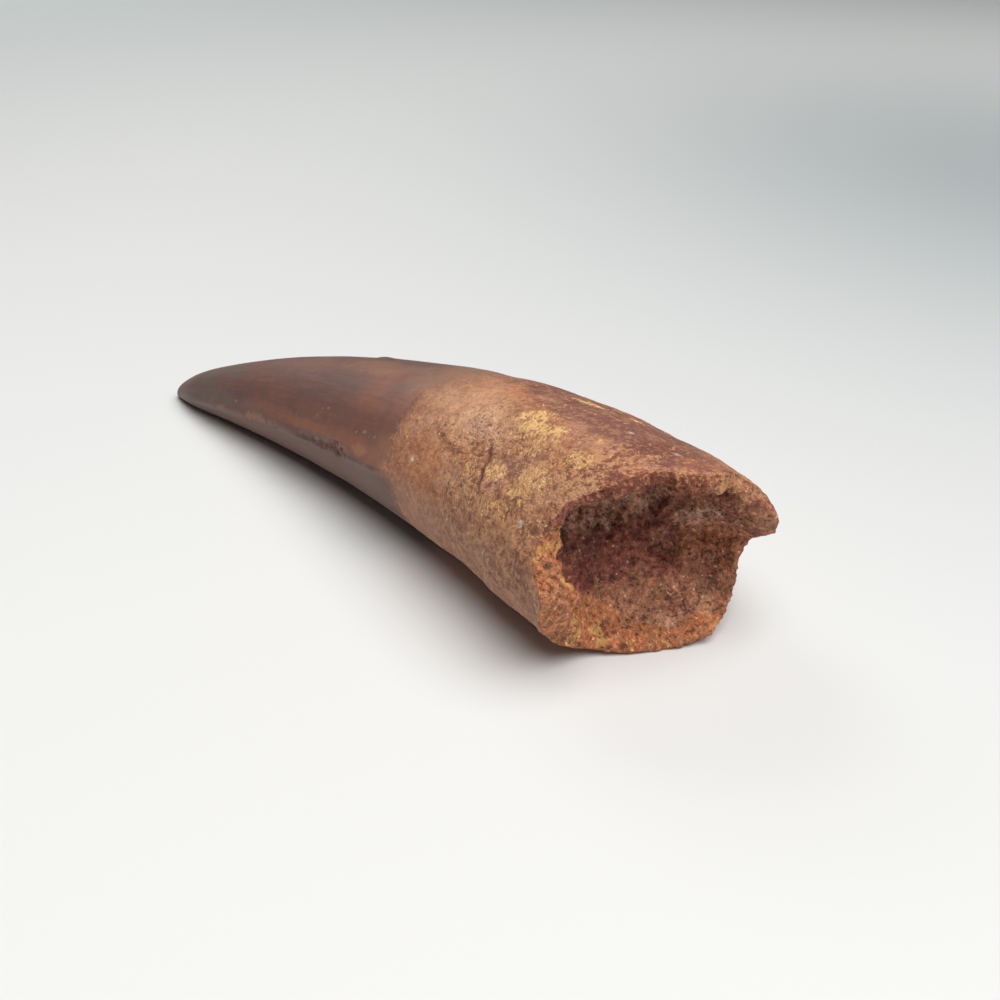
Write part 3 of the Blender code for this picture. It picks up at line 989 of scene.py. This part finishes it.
        # Edge: the top rim, where dark crumbs and painted shade go
        edge = self.share("rim").between(0.70, 1.00) * top_rim
        scattered = self.specks(0.0026, 0.88, 0.08, 6.0) * (1 - self.crown * 0.7)
        pale = (self.share("pale") * self.fray.between(0.40, 0.55)).at_least(scattered)
        return self.layered(
            self.root_colour(),
            (self.crown, self.enamel_colour()),
            (keel * self.fray.between(0.34, 0.52) * 0.8, c.keel_line),
            (fresh * self.fray.between(0.25, 0.50) * 0.9, c.chip_fresh),
            (self.share("crack") * 0.85, c.crack),
            # Painted highlight along the edge of the lower rim
            (lip * self.fray.between(0.40, 0.55) * 0.6, c.root_light),
            (self.hollow, self.hollow_colour()),
            (self.broken, self.wall_colour()),
            # Dark crumbs with painted shade along the top rim
            (edge * self.crumbs.between(0.52, 0.44) * 0.7, c.rim_crumbs_and_painted_shade),
            (edge * self.crumbs.between(0.54, 0.60) * 0.45, c.root_light),
            (pale * 0.90, self.mix(self.crown, c.chalk, c.chalk_crown)),
        )

    def roughness(self):
        """Enamel is glossier than the root, and chips in it are nearly as dull as the root."""
        enamel = 0.42 + self.streaks(12.0, 3.0, 9.0) * 0.16
        root = 0.52 + self.fray * 0.34 - self.share("plum") * 0.10
        gloss = self.crown * (1 - self.hollow) * (1 - self.share("chip") * 0.7)
        return root + (enamel - root) * gloss

    def relief(self):
        """Fine grain too small for the mesh, in metres."""
        crown = self.crown * (1 - self.hollow)
        rugged = self.crust.at_least(self.hollow)
        fine = self.noise(0.00042, 3.0, 0.7, 51.0)
        coarse = self.noise(0.0011, 3.0, 0.7, 53.0)
        grain = self.grain + (self.crumbs - self.grain) * self.hollow
        rough = fine * 0.00016 + coarse * 0.00035 + grain * 0.00105
        sleek = self.streaks(6.0, 0.8, 55.0) * 0.00003 + fine * 0.000012
        height = rough * (0.2 + 0.8 * rugged) * (1 - crown) + sleek * crown
        inputs = {"Strength": 1.0, "Distance": 1.0, "Height": height}
        return self.node("ShaderNodeBump", None, inputs).outputs[0]

    def build(self):
        self.put(self.shader.inputs["Base Color"], self.colour())
        self.put(self.shader.inputs["Roughness"], self.roughness())
        self.put(self.shader.inputs["Normal"], self.relief())
        self.put(self.shader.inputs["Specular IOR Level"], 0.5)
        return self.material


# -------- stage


# The floor's directions as the camera sees them
RIGHT, AWAY = Vector((0.692, 0.722, 0.0)), Vector((-0.722, 0.692, 0.0))
UP = Vector((0.0, 0.0, 1.0))
MIDDLE, BACKDROP = Vector((0.0, 0.0, 0.0)), AWAY * 1.2 - RIGHT * 0.5
CAMERA_PLACE, CAMERA_AIM = (0.16499, -0.12909, 0.11114), (0.01403, 0.01548, 0.0)
CAMERA_VIEW = math.radians(45.0)

# The part of the floor with painted shade: how far to the right and away its middle lies, and its
# half sizes
SHADE_MIDDLE, SHADE_HALF = (0.24, 0.25), (0.20, 0.28)

# Name, place, aim, diameter, power and tint
LIGHTS = (
    ("softbox", RIGHT * 0.26 - AWAY * 0.27 + UP * 0.9, MIDDLE, 1.25, 13.4, (1.0, 0.99, 0.975)),
    ("back panel", AWAY * 1.3 - RIGHT * 0.7 + UP, BACKDROP, 1.2, 7.2, (0.90, 1.0, 1.0)),
)
AIR_TINT, AIR_STRENGTH = (0.90, 0.95, 1.0), 0.05


class FloorFinish(Finish):
    """Pale sheet, with painted shade: greyer on one side behind the root."""

    def build(self, settings):
        place = self.node("ShaderNodeTexCoord")
        split = self.node("ShaderNodeSeparateXYZ", None, {0: place.outputs["Object"]})
        x, y = self.amount(split, 0), self.amount(split, 1)
        right = (x * RIGHT.x + y * RIGHT.y - SHADE_MIDDLE[0]) / SHADE_HALF[0]
        away = (x * AWAY.x + y * AWAY.y - SHADE_MIDDLE[1]) / SHADE_HALF[1]
        # Painted shade on the floor
        shade = math.e ** ((right * right + away * away) * -1.0)
        colour = self.mix(shade, settings.floor, settings.floor_shade)
        self.put(self.shader.inputs["Base Color"], colour)
        self.put(self.shader.inputs["Roughness"], 0.75)
        self.put(self.shader.inputs["Specular IOR Level"], 0.2)
        return self.material


def aim(thing, target):
    """Turns a light or camera to look at a place."""
    direction = Vector(target) - thing.location
    thing.rotation_euler = direction.to_track_quat("-Z", "Y").to_euler()


def add_light(name, place, target, size, power, tint):
    bpy.ops.object.light_add(type="AREA", location=place)
    light = bpy.context.object
    light.name = name
    light.data.shape = "DISK"
    light.data.size = size
    light.data.energy = power
    light.data.color = tint
    aim(light, target)


def add_air():
    """Faint light from all round, as from a pale room."""
    world = bpy.data.worlds.new("studio air")
    world.use_nodes = True
    background = world.node_tree.nodes["Background"]
    background.inputs["Color"].default_value = (*AIR_TINT, 1.0)
    background.inputs["Strength"].default_value = AIR_STRENGTH
    bpy.context.scene.world = world


def add_camera():
    bpy.ops.object.camera_add(location=CAMERA_PLACE)
    camera = bpy.context.object
    camera.name = "camera"
    camera.data.sensor_fit = "HORIZONTAL"
    camera.data.angle = CAMERA_VIEW
    camera.data.clip_start = 0.005
    camera.data.clip_end = 20.0
    aim(camera, CAMERA_AIM)
    bpy.context.scene.camera = camera


# -------- operators


class FOSSIL_OT_tooth(bpy.types.Operator):
    """Make the fossil tooth over its solid"""

    bl_idname = "fossil.tooth"
    bl_label = "Fossil tooth"

    def execute(self, context):
        sizes = context.scene.fossil_sizes
        colours = context.scene.fossil_colours
        piece = copy_of_solid("fossil_tooth")
        apply_modifier(piece, "round off", "SUBSURF", levels=2, render_levels=2)
        shape_end(piece)
        apply_modifier(piece, "even cells", "REMESH", mode="VOXEL", voxel_size=sizes.cell)
        apply_modifier(piece, "even out", "SMOOTH", factor=0.5, iterations=1)
        where, shares = sculpt(piece, sizes)
        store_shares(piece, shares)
        unroll(piece, where)
        piece.data.materials.append(ToothFinish("fossil enamel and root", colours).build())
        select_only(piece)
        bpy.ops.object.shade_smooth()
        if len(piece.data.polygons) * 2 > MOST_TRIANGLES:
            raise RuntimeError("the tooth has too many faces: make the surface cell larger")
        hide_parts(NODE)
        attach(piece, "root")
        return {"FINISHED"}


class FOSSIL_OT_stage(bpy.types.Operator):
    """Make the floor, the lights and the camera"""

    bl_idname = "fossil.stage"
    bl_label = "Stage"

    def execute(self, context):
        settings = context.scene.fossil_stage
        bpy.ops.object.select_all(action="DESELECT")
        size = settings.floor_size
        bpy.ops.mesh.primitive_circle_add(vertices=96, radius=size, fill_type="NGON")
        floor = context.object
        floor.name = "floor"
        floor.data.materials.append(FloorFinish("pale floor").build(settings))
        for light in LIGHTS:
            add_light(*light)
        add_air()
        add_camera()
        context.scene.view_settings.view_transform = "Standard"
        context.scene.view_settings.look = "None"
        return {"FINISHED"}


class FOSSIL_PT_panel(bpy.types.Panel):
    """The steps that make the tooth, and its settings"""

    bl_idname = "FOSSIL_PT_panel"
    bl_label = "Fossil tooth"
    bl_space_type = "VIEW_3D"
    bl_region_type = "UI"
    bl_category = "Fossil"

    def draw(self, context):
        for kind in (FOSSIL_OT_tooth, FOSSIL_OT_stage):
            self.layout.operator(kind.bl_idname)
        for group in SETTINGS:
            box = self.layout.box()
            settings = getattr(context.scene, group)
            for name in settings.__annotations__:
                box.prop(settings, name)


SETTINGS = {
    "fossil_sizes": ToothSizes,
    "fossil_colours": ToothColours,
    "fossil_stage": StageSettings,
}
CLASSES = (*SETTINGS.values(), FOSSIL_OT_tooth, FOSSIL_OT_stage, FOSSIL_PT_panel)


def register():
    for kind in CLASSES:
        bpy.utils.register_class(kind)
    for name, kind in SETTINGS.items():
        setattr(bpy.types.Scene, name, PointerProperty(type=kind))


def unregister():
    for name in SETTINGS:
        delattr(bpy.types.Scene, name)
    for kind in reversed(CLASSES):
        bpy.utils.unregister_class(kind)


def main():
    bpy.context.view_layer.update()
    register()
    bpy.ops.fossil.tooth()
    bpy.ops.fossil.stage()


if __name__ == "__main__":
    main()
